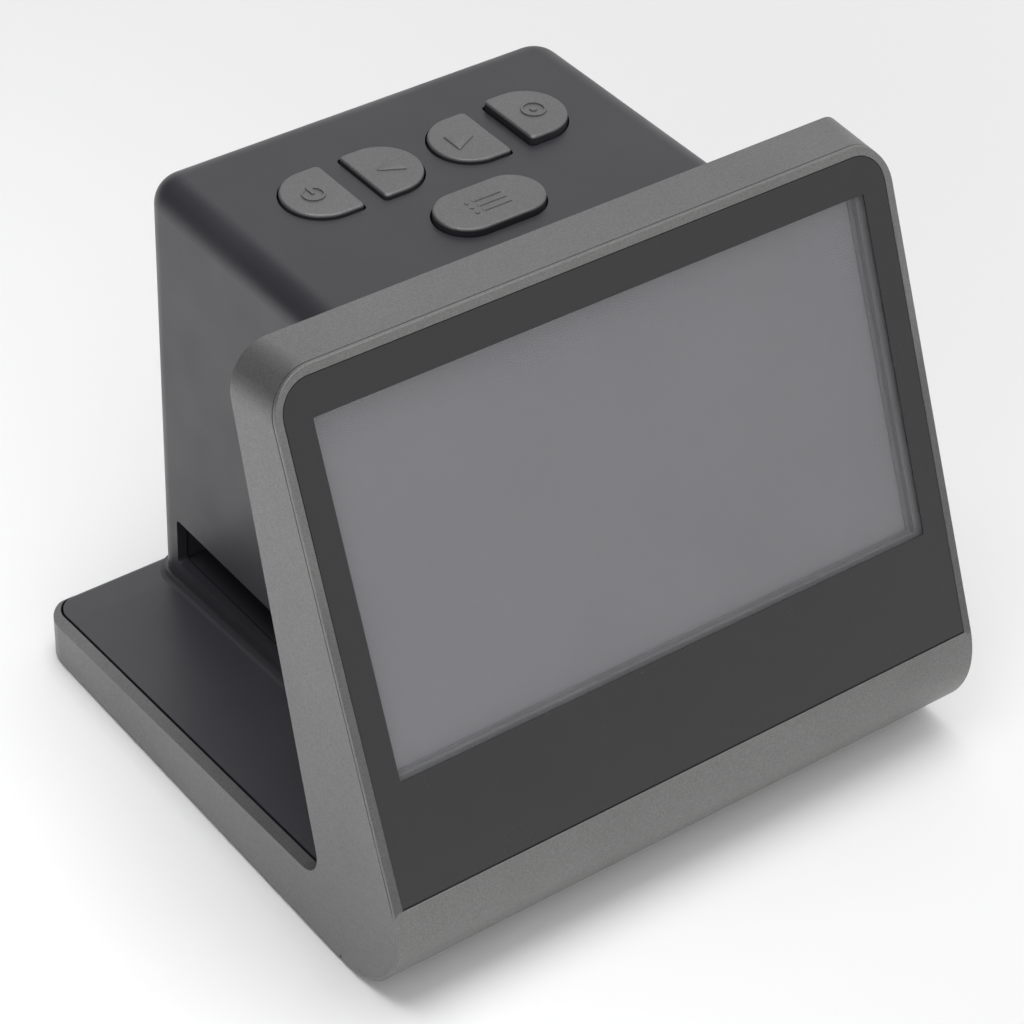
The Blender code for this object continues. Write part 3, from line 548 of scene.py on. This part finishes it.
def make_shell():
    half = WIDTH / 2
    shell = prism("shell_skin", "gunmetal", side_outline(), "X", -half, half)
    work(shell, "INTERSECT", frame_block("tool_face", 0.0, -60.0))
    plan = plan_outline(half, BACK_Y, BACK_CORNER)
    work(shell, "INTERSECT", prism("tool_plan", None, plan, "Z", -5.0, 130.0))
    inner = half - CHEEK
    hollow = frame_block("tool_hollow", CHEEK, -70.0)
    plan = stepped_plan(inner, BACK_Y - 0.35, 5.5, 54.4, 175.0)
    work(hollow, "INTERSECT", prism("tool_hollow_plan", None, plan, "Z", -6.0, 140.0))
    work(shell, "DIFFERENCE", hollow)
    edge = half - LIP
    top_edge = FRAME_FRONT_Z / math.cos(TILT) - LIP
    seat = face_outline(edge, -60.0, top_edge, TOP_CORNER - LIP)
    work(shell, "DIFFERENCE", prism("tool_seat", None, seat, "Z", -RABBET, 10.0, SLOPE))
    work(shell, "DIFFERENCE", nose_strip("tool_nose_seat", None, RABBET, edge, 1.0, GAP))
    face = rectangle(-half - 2.0, half + 2.0, -60.0, top_edge + 8.0)
    work(shell, "DIFFERENCE", prism("tool_face_room", None, face, "Z", -FACE_THICK - SEAM, 11.0, SLOPE))
    depth = FACE_THICK + NOSE_SEAM
    work(shell, "DIFFERENCE", nose_strip("tool_nose_room", None, depth, half + 2.0, 1.5, GAP))
    soften(shell, 0.3, spare=on_nose_seam)
    return take_place(shell, "viewer", "outer_shell", slot="gunmetal")


def make_bezel():
    full = WIDTH / 2
    tangent = NOSE_RADIUS * (1 + math.sin(TILT)) / math.cos(TILT)
    top = FRAME_FRONT_Z / math.cos(TILT)
    face = rectangle(-full, full, tangent, top + 2.0)
    bezel = prism("bezel_skin", "bezel", face, "Z", -FACE_THICK, 0.0, SLOPE)
    work(bezel, "INTERSECT", frame_block("tool_bezel_outline", 0.0, -60.0))
    work(bezel, "UNION", nose_strip("tool_nose", None, FACE_THICK, full))
    inset = LIP + GAP
    plate = face_outline(full - inset, tangent, top - inset, TOP_CORNER - inset)
    work(bezel, "UNION", prism("tool_bezel_plate", None, plate, "Z", -BEZEL_THICK, -FACE_THICK / 2, SLOPE))
    work(bezel, "UNION", nose_strip("tool_nose_back", None, BEZEL_THICK, full - inset, -FACE_THICK / 2))
    seat = face_outline(LENS_HALF + 0.12, LENS_SPAN[0] - 0.3, LENS_SPAN[1] + 0.12, LENS_CORNER + 0.12)
    work(bezel, "DIFFERENCE", prism("tool_lens_seat", None, seat, "Z", -1.65, 5.0, SLOPE))
    hole = rectangle(-57.0, 57.0, 44.3, 110.7, 1.0)
    work(bezel, "DIFFERENCE", prism("tool_window", None, hole, "Z", -8.0, 5.0, SLOPE))
    soften(bezel, 0.3, spare=on_nose_seam)
    return take_place(bezel, "viewer", "front_bezel", slot="gunmetal")


def make_screen():
    """Printed border on the clear cover, the surround behind it and the display."""
    face = face_outline(LENS_HALF, *LENS_SPAN, LENS_CORNER)
    border = prism("cover_border", "lens", face, "Z", -0.3, -0.1, SLOPE)
    work(border, "DIFFERENCE", prism("tool_opening", None, rectangle(*WINDOW, 0.3), "Z", -4.0, 2.0, SLOPE))
    take_place(smooth(border), "viewer", "lens_panel", slot="lens")
    pane = prism("cover_pane", "clear", face, "Z", -1.3, -0.32, SLOPE)
    take_place(smooth(pane), "viewer")

    x0, x1, y0, y1 = WINDOW
    outside = rectangle(-56.7, 56.7, 44.6, 110.4, 0.8)
    step = rectangle(x0 + 0.1, x1 - 0.95, y0 + 0.4, y1 - 0.1, 0.3)
    picture = rectangle(x0 + 0.8, x1 - 1.85, y0 + 1.0, y1 - 0.5)
    for name, finish, low, high, inside in (
        ("surround_ledge", "wall", -1.6, -1.35, step),
        ("display_surround", "surround", -2.45, -1.6, step),
        ("display_mask", "surround", -2.6, -2.46, picture),
    ):
        ring = prism(name, finish, outside, "Z", low, high, SLOPE)
        work(ring, "DIFFERENCE", prism("tool_inside", None, inside, "Z", -6.0, 2.0, SLOPE))
        take_place(smooth(ring), "viewer")
    glass = rectangle(-56.6, 56.6, 44.7, 110.3, 0.5)
    take_place(smooth(prism("display_glass", "display", glass, "Z", -4.5, -2.62, SLOPE)), "viewer")
    back = rectangle(-58.8, 58.8, 42.7, 112.3, 0.5)
    panel = prism("display_face", "display", back, "Z", -6.3, -4.5, SLOPE)
    soften(panel, 0.1, 1)
    take_place(panel, "viewer", "display_panel", slot="glass")


def box_ring(z, grow, inset, ahead, on_cover=False):
    """The camera box's outline at a height, or at a height above the sloping cover."""
    left = BODY_X - BODY_HALF + inset - grow
    right = BODY_X + BODY_HALF - inset + grow
    back = BODY_BACK - inset + grow
    corner = max(0.3, BODY_CORNER - inset + grow)
    front = rear_y(z + COVER_Z_AT_20 - 1.0 if on_cover else z) - ahead
    points = outline([(left, front), (right, front), (right, back, corner), (left, back, corner)], 6.0)
    return [(p.x, p.y, z + (cover_z(p.y) if on_cover else 0.0)) for p in points]


def camera_box(name, material, inset, ahead, foot):
    """The camera box: a small fillet at its foot, straight walls and a rounded top edge."""
    rings = []
    if foot:
        rings.append(box_ring(-1.2, BODY_FOOT, inset, ahead, True))
        for step in range(7):
            turn = math.radians(15 * step)
            grow = BODY_FOOT * (1 - math.sin(turn))
            rings.append(box_ring(BODY_FOOT * (1 - math.cos(turn)), grow, inset, ahead, True))
    else:
        rings.append(box_ring(-15.0, 0.0, inset, ahead))
    radius = BODY_EDGE - inset
    top = BODY_TOP - inset
    for step in range(11):
        turn = math.radians(9 * step)
        z = top - radius * (1 - math.sin(turn))
        rings.append(box_ring(z, -radius * (1 - math.cos(turn)), inset, ahead))
    return loft(name, material, rings)


def make_housing():
    half = WIDTH / 2 - CHEEK - HOUSING_ROOM
    top = FRAME_REAR_Z - CHEEK - GAP - 0.2
    depth = 10.0 / math.cos(TILT)
    side = outline(
        [
            (31.0, HOUSING_FOOT_Z),
            (BACK_Y - 0.05, HOUSING_FOOT_Z),
            (BACK_Y - 0.05, cover_z(BACK_Y) - ROLL_DROP, ROLL_RADIUS),
            (ROLL_Y, cover_z(ROLL_Y), 30.0),
            (*crossing(0.0), POCKET_RADIUS),
            (rear_y(top), top),
            (front_y(top) + depth, top),
            (front_y(26.0) + depth, 26.0),
            (31.0, 13.0),
        ],
        4.0,
    )
    housing = prism("housing_skin", "black", side, "X", -half, half)
    plan = stepped_plan(half, BACK_Y - 0.55, 5.3, 54.2, 160.0)
    work(housing, "INTERSECT", prism("tool_housing_plan", None, plan, "Z", -5.0, 130.0))
    work(housing, "INTERSECT", frame_block("tool_housing_face", CHEEK + GAP * 0.7, -50.0))
    work(housing, "UNION", camera_box("tool_box", None, 0.0, 1.0, True))

    inner = crossing(WALL)
    lean = WALL * math.hypot(1.0, REAR_LEAN)
    side = outline(
        [
            (-20.0, -20.0),
            (BACK_Y - WALL, -20.0),
            (BACK_Y - WALL, cover_z(BACK_Y - WALL) - WALL),
            (*inner, POCKET_RADIUS + WALL),
            (rear_y(top - WALL) - lean, top - WALL),
            (-20.0, top - WALL),
        ]
    )
    hollow = prism("tool_base_hollow", None, side, "X", -half + WALL, half - WALL)
    plan = plan_outline(half - WALL, BACK_Y - WALL - 0.2, 3.4)
    work(hollow, "INTERSECT", prism("tool_base_plan", None, plan, "Z", -30.0, 140.0))
    work(housing, "DIFFERENCE", hollow)
    work(housing, "DIFFERENCE", camera_box("tool_box_hollow", None, WALL, 14.0, False))
    slot = rectangle(*SLOT_Y, *SLOT_Z, 0.8)
    work(housing, "DIFFERENCE", prism("tool_slot", None, slot, "X", -48.0, 58.0))
    for name, shape, _, _ in key_shapes():
        work(housing, "DIFFERENCE", prism("tool_hole_" + name, None, shape(KEY_ROOM), "Z", 90.0, 100.0))
    for _, mouth, _ in PORTS:
        work(housing, "DIFFERENCE", prism("tool_mouth", None, mouth(PORT_ROOM), "Y", 118.0, 130.0))
    soften(housing, 0.22, 2)
    # Up-facing faces on the base top get the lighter copy of the housing plastic: painted light on the base
    # top.
    housing.data.materials.append(MATERIALS["cover"])
    for face in housing.data.polygons:
        middle = DATUM.inverted() @ (face.center / MM)
        if face.normal.z > 0.8 and abs(middle.z - cover_z(middle.y)) < 0.6:
            face.material_index = 1
    return take_place(housing, "viewer", "rear_housing", slot="black")


# Keys.


def d_outline(flat_x, side):
    """A D with its flat at flat_x and its round end on one side, as a function of how much it grows."""
    centre_x = flat_x + side * (D_WIDTH - D_RADIUS)

    def grown(growth):
        radius = D_RADIUS + growth
        corner = 0.9
        points = []
        for step in range(37):
            a = math.radians(-90 + 5 * step)
            points.append(Vector((centre_x + side * radius * math.cos(a), D_ROW_Y + radius * math.sin(a))))
        edge = flat_x - side * growth + side * corner
        for sign, start in ((1, 90), (-1, 180)):
            for step in range(7):
                a = math.radians(start + 15 * step)
                y = D_ROW_Y + sign * (radius - corner) + corner * math.sin(a)
                points.append(Vector((edge + side * corner * math.cos(a), y)))
        return points if side > 0 else points[::-1]

    return grown


def oval_outline(growth):
    radius = OVAL_HALF[1] + growth
    reach = OVAL_HALF[0] - OVAL_HALF[1]
    points = []
    for sign, start in ((1, -90), (-1, 90)):
        for step in range(37):
            a = math.radians(start + 5 * step)
            middle = Vector((BODY_X + sign * reach, OVAL_Y))
            points.append(middle + radius * Vector((math.cos(a), math.sin(a))))
    return points


def key_shapes():
    """Each key as (name, outline for a growth, middle, height above the box)."""
    keys = []
    for name, flat, side, rise in (
        ("power", OUTER_KEY_FLAT, -1, 0.8),
        ("back", INNER_KEY_FLAT, 1, 0.9),
        ("forward", INNER_KEY_FLAT, -1, 0.8),
        ("select", OUTER_KEY_FLAT, 1, 1.6),
    ):
        outward = -1 if name in ("power", "back") else 1
        flat_x = ROW_X + outward * flat
        keys.append((name, d_outline(flat_x, side), (flat_x + side * D_WIDTH / 2, D_ROW_Y), rise))
    keys.append(("scan", oval_outline, (BODY_X, OVAL_Y), 1.4))
    return keys


def make_keys():
    for name, shape, middle, rise in key_shapes():
        top = BODY_TOP + rise
        fillet = 0.45
        low, high = FLANGE_Z
        steps = [(low - 0.7, -2.0), (low, -2.0), (low, 0.9), (high, 0.9), (high, 0.0)]
        for step in range(9):
            turn = math.radians(90 * step / 8)
            steps.append((top - fillet * (1 - math.sin(turn)), -fillet * (1 - math.cos(turn))))
        rings = [[(*point, z) for point in shape(growth)] for z, growth in steps]
        cap = smooth(loft(name + "_cap", "key", rings), 40)
        # The key's sides below the top fillet take the black housing plastic as painted shade, standing in
        # for the shadow in the gap round the key.
        cap.data.materials.append(MATERIALS["black"])
        for side in cap.data.polygons:
            side.material_index = int(side.center.z / MM < top + DATUM.translation.z - fillet)
        take_place(cap, name + "_button", name + "_key", slot="gunmetal")
        for mark in key_marks(name, middle, top - 0.05):
            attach(smooth(mark, 30), name + "_button")


def raised(name, shape, z, lift=0.28):
    """A flat raised symbol with a small slope round it."""
    middle = sum(shape, Vector((0.0, 0.0))) / len(shape)
    rings = []
    for level, shrink in ((z, 1.0), (z + lift - 0.06, 0.97), (z + lift, 0.92)):
        rings.append([(*(middle + (point - middle) * shrink), level) for point in shape])
    return loft(name, "key", rings)


def ring_mark(name, centre, radius, width, z, start=0.0, end=360.0):
    """A raised ring, or an open arc of one."""
    whole = end - start >= 360.0
    count = 48
    rings = []
    for step in range(count if whole else count + 1):
        a = math.radians(start + (end - start) * step / count)
        out = Vector((math.cos(a), math.sin(a)))
        near = Vector(centre) + out * (radius - width / 2)
        far = Vector(centre) + out * (radius + width / 2)
        slope = out * 0.06
        rings.append([(*near, z), (*far, z), (*(far - slope), z + 0.3), (*(near + slope), z + 0.3)])
    return loft(name, "key", rings, DATUM, whole)


def key_marks(name, middle, z):
    """Generic symbols: a power sign, two triangles, a ring with a dot, and a three line list."""
    x, y = middle
    if name == "power":
        bar = [Vector(p) for p in ((x - 0.25, y), (x + 0.25, y), (x + 0.25, y + 2.3), (x - 0.25, y + 2.3))]
        return [ring_mark("power_arc", middle, 1.9, 0.5, z, 120.0, 420.0), raised("power_bar", bar, z)]
    if name in ("back", "forward"):
        side = -1 if name == "back" else 1
        tip = [(x + side * 2.8, y), (x - side * 2.2, y + 2.6), (x - side * 2.2, y - 2.6)]
        return [raised(name + "_triangle", outline([(*point, 0.25) for point in tip], 20.0), z)]
    if name == "select":
        ring = ring_mark("select_ring", middle, 2.1, 0.55, z)
        return [ring, raised("select_dot", circle(0.7, 24, middle), z)]
    marks = []
    for row in range(3):
        level = y + 1.6 * (row - 1)
        line = rectangle(x - 2.6, x + 3.6, level - 0.32, level + 0.32, 0.3)
        marks.append(raised(f"list_line_{row + 1}", line, z, 0.18))
        marks.append(raised(f"list_dot_{row + 1}", circle(0.4, 20, (x - 3.6, level)), z, 0.18))
    return marks


# Ports, feet and screws.


def round_port(x0, x1, corner):
    def mouth(grow):
        return rectangle(x0 - grow, x1 + grow, PORT_Z[0] - grow, PORT_Z[1] + grow, corner + grow)

    return mouth


def tapered_port(x0, x1, cut):
    """A mouth with its two lower corners cut off."""

    def mouth(grow):
        low, high = PORT_Z[0] - grow, PORT_Z[1] + grow
        left, right = x0 - grow, x1 + grow
        bottom = [(left, low + cut), (left + cut, low), (right - cut, low), (right, low + cut)]
        return [Vector(point) for point in (*bottom, (right, high), (left, high))]

    return mouth


PORTS = [
    ("card_socket", round_port(-30.0, -4.0, 0.3), 103.5),
    ("usb_socket", round_port(8.0, 17.0, 1.55), 114.3),
    ("hdmi_socket", tapered_port(26.0, 37.2, 1.2), 113.5),
]


def make_ports():
    for name, mouth, front in PORTS:
        socket = prism(name + "_can", "steel", mouth(0.0), "Y", front, 123.2)
        work(socket, "DIFFERENCE", prism("tool_can", None, mouth(-0.3), "Y", front + 1.5, 130.0))
        soften(socket, 0.08, 2)
        take_place(socket, "viewer", name, slot="steel")
    for name, x0, x1, z0, z1, front, back, contacts in (
        ("card_tongue", -28.5, -5.5, 4.9, 5.3, 112.0, 117.0, 9),
        ("usb_tongue", 9.6, 15.4, 5.65, 6.35, 116.0, 121.5, 6),
        ("hdmi_tongue", 28.0, 35.2, 6.2, 6.8, 116.0, 121.0, 6),
    ):
        tongue = block(name, "chip", (x0, front, z0), (x1, back, z1))
        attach(soften(tongue, 0.08, 2), "viewer")
        for index in range(contacts):
            x = x0 + (x1 - x0) * (index + 0.5) / contacts
            corners = (x - 0.22, back - 3.0, z1), (x + 0.22, back - 0.4, z1 + 0.05)
            pad = block(f"{name}_pad_{index + 1}", "gold", *corners)
            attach(pad, "viewer")


FEET = {
    "front_left": (-50.0, 36.0),
    "front_right": (50.0, 36.0),
    "back_left": (-50.0, 112.0),
    "back_right": (50.0, 112.0),
}
SCREWS = [(-50.0, 52.0), (50.0, 52.0), (-50.0, 96.0), (50.0, 96.0)]


def make_underside():
    for name, spot in FEET.items():
        r = FOOT_RADIUS
        profile = [(0.5, 0.6), (r, 0.6), (r, -0.3), (r - 0.15, -0.62)]
        profile += [(r - 0.5, -0.8), (r - 1.2, -0.8), (0.5, -0.72)]
        foot = smooth(turned("pad_" + name, "rubber", profile, spot, 64), 30)
        take_place(foot, "viewer", "foot_" + name, slot="rubber")
    for index, spot in enumerate(SCREWS):
        profile = [(0.3, 0.32), (1.9, 0.3), (2.4, 0.45), (2.5, 0.7)]
        profile += [(2.5, 1.1), (1.0, 1.1), (1.0, 6.4), (0.3, 7.2)]
        screw = turned(f"cover_screw_fine_{index + 1}", "steel", profile, spot, 48)
        x, y = spot
        for wide, long in ((1.5, 0.3), (0.3, 1.5)):
            recess = block("tool_recess", None, (x - wide, y - long, -1.0), (x + wide, y + long, 0.85))
            work(screw, "DIFFERENCE", recess)
        take_place(soften(screw, 0.06, 2), "viewer", f"cover_screw_{index + 1}", slot="steel")
    half = WIDTH / 2 - CHEEK - GAP
    front, back = NOSE_FRONT_Y + NOSE_RADIUS + 0.6, BACK_Y - 0.65
    plan = outline([(-half, front, 1.0), (half, front, 1.0), (half, back, 5.2), (-half, back, 5.2)])
    cover = prism("bottom_plate", "black", plan, "Z", 0.2, 2.2)
    for spot in SCREWS:
        work(cover, "DIFFERENCE", prism("tool_through", None, circle(1.5, 32, spot), "Z", -1.0, 4.0))
        work(cover, "DIFFERENCE", prism("tool_sink", None, circle(2.9, 48, spot), "Z", -1.0, 1.4))
    for spot in FEET.values():
        seat = circle(FOOT_RADIUS + GAP, 64, spot)
        work(cover, "DIFFERENCE", prism("tool_seat", None, seat, "Z", -1.0, 0.9))
    for row in range(9):
        y = 64.0 + 3.0 * row
        work(cover, "DIFFERENCE", block("tool_vent", None, (-16.0, y, -1.0), (16.0, y + 1.2, 0.9)))
    take_place(soften(cover, 0.15, 2), "viewer", "bottom_cover", slot="black")


def dress_frame():
    """Procedural finishes for the CAD nodes that stay as they are."""
    slots = {part["node"]: part["material_slot"] for part in frame["record"]["subparts"]}
    for name, node in frame["nodes"].items():
        finish = slots[name]
        if name == "display_panel":
            finish = "display"
        for index in range(len(node.data.materials)):
            node.data.materials[index] = MATERIALS[finish]


# Surroundings.


def make_stage():
    mesh = bpy.data.meshes.new("floor")
    half = 6.0
    corners = [(-half, -half, 0.0), (half, -half, 0.0), (half, half, 0.0), (-half, half, 0.0)]
    mesh.from_pydata(corners, [], [(0, 1, 2, 3)])
    floor = bpy.data.objects.new("floor", mesh)
    bpy.context.scene.collection.objects.link(floor)
    made = Nodes("floor_paper")
    made.paint(made.tones(made.noise(2.0, 2.0), (0.9, 0.9, 0.9), (0.93, 0.93, 0.93)))
    made.shader.inputs["Roughness"].default_value = 0.9
    made.shader.inputs["Specular IOR Level"].default_value = 0.1
    mesh.materials.append(made.material)


def make_studio():
    """An even white surround with one soft dark patch behind and to the left, above the floor."""
    world = bpy.data.worlds.new("studio")
    world.use_nodes = True
    tree = world.node_tree
    background = tree.nodes["Background"]
    background.inputs["Strength"].default_value = 0.94
    heading = tree.nodes.new("ShaderNodeTexCoord").outputs["Generated"]
    toward = tree.nodes.new("ShaderNodeVectorMath")
    toward.operation = "DOT_PRODUCT"
    toward.inputs[1].default_value = Vector((-0.62, 0.62, 0.48)).normalized()
    patch = tree.nodes.new("ShaderNodeMapRange")
    patch.interpolation_type = "SMOOTHSTEP"
    for key, value in (("From Min", 0.45), ("From Max", 0.85), ("To Min", 0.9), ("To Max", 0.06)):
        patch.inputs[key].default_value = value
    tree.links.new(heading, toward.inputs[0])
    tree.links.new(toward.outputs["Value"], patch.inputs["Value"])
    tree.links.new(patch.outputs["Result"], background.inputs["Color"])
    bpy.context.scene.world = world


def area_light(name, place, size, power, target=(0.0, 0.0, 0.05), spread=180.0):
    data = bpy.data.lights.new(name, "AREA")
    data.shape = "RECTANGLE"
    data.size, data.size_y = size
    data.energy = power
    data.spread = math.radians(spread)
    light = bpy.data.objects.new(name, data)
    light.location = place
    light.rotation_euler = (Vector(target) - Vector(place)).to_track_quat("-Z", "Y").to_euler()
    bpy.context.scene.collection.objects.link(light)


def make_lights():
    area_light("top_softbox", (0.2, 0.1, 1.3), (0.9, 0.9), 5.8)
    area_light("left_table_light", (-0.55, 0.0, 0.7), (0.4, 0.7), 1.25, (-0.5, 0.0, 0.0), 60.0)
    area_light("right_table_light", (0.8, -0.25, 0.7), (0.4, 0.7), 1.1, (0.75, -0.25, 0.0), 60.0)


def make_camera():
    data = bpy.data.cameras.new("camera")
    data.lens = 120.97
    data.sensor_width = 36.0
    data.clip_start = 0.01
    camera = bpy.data.objects.new("camera", data)
    ahead = Vector((0.47949, 0.61646, -0.62455)).normalized()
    side = ahead.cross(Vector((0.35163, 0.51710, 0.78036))).normalized()
    up = side.cross(ahead)
    turn = Matrix((side, up, -ahead)).transposed()
    eye = DATUM @ Vector((-288.73, -307.65, 418.18))
    camera.matrix_world = Matrix.Translation(eye * MM) @ turn.to_4x4()
    bpy.context.scene.collection.objects.link(camera)
    bpy.context.scene.camera = camera


dress_frame()
make_shell()
make_bezel()
make_screen()
make_housing()
make_keys()
make_ports()
make_underside()
make_stage()
make_studio()
make_lights()
make_camera()
bpy.context.scene.view_settings.view_transform = "Standard"
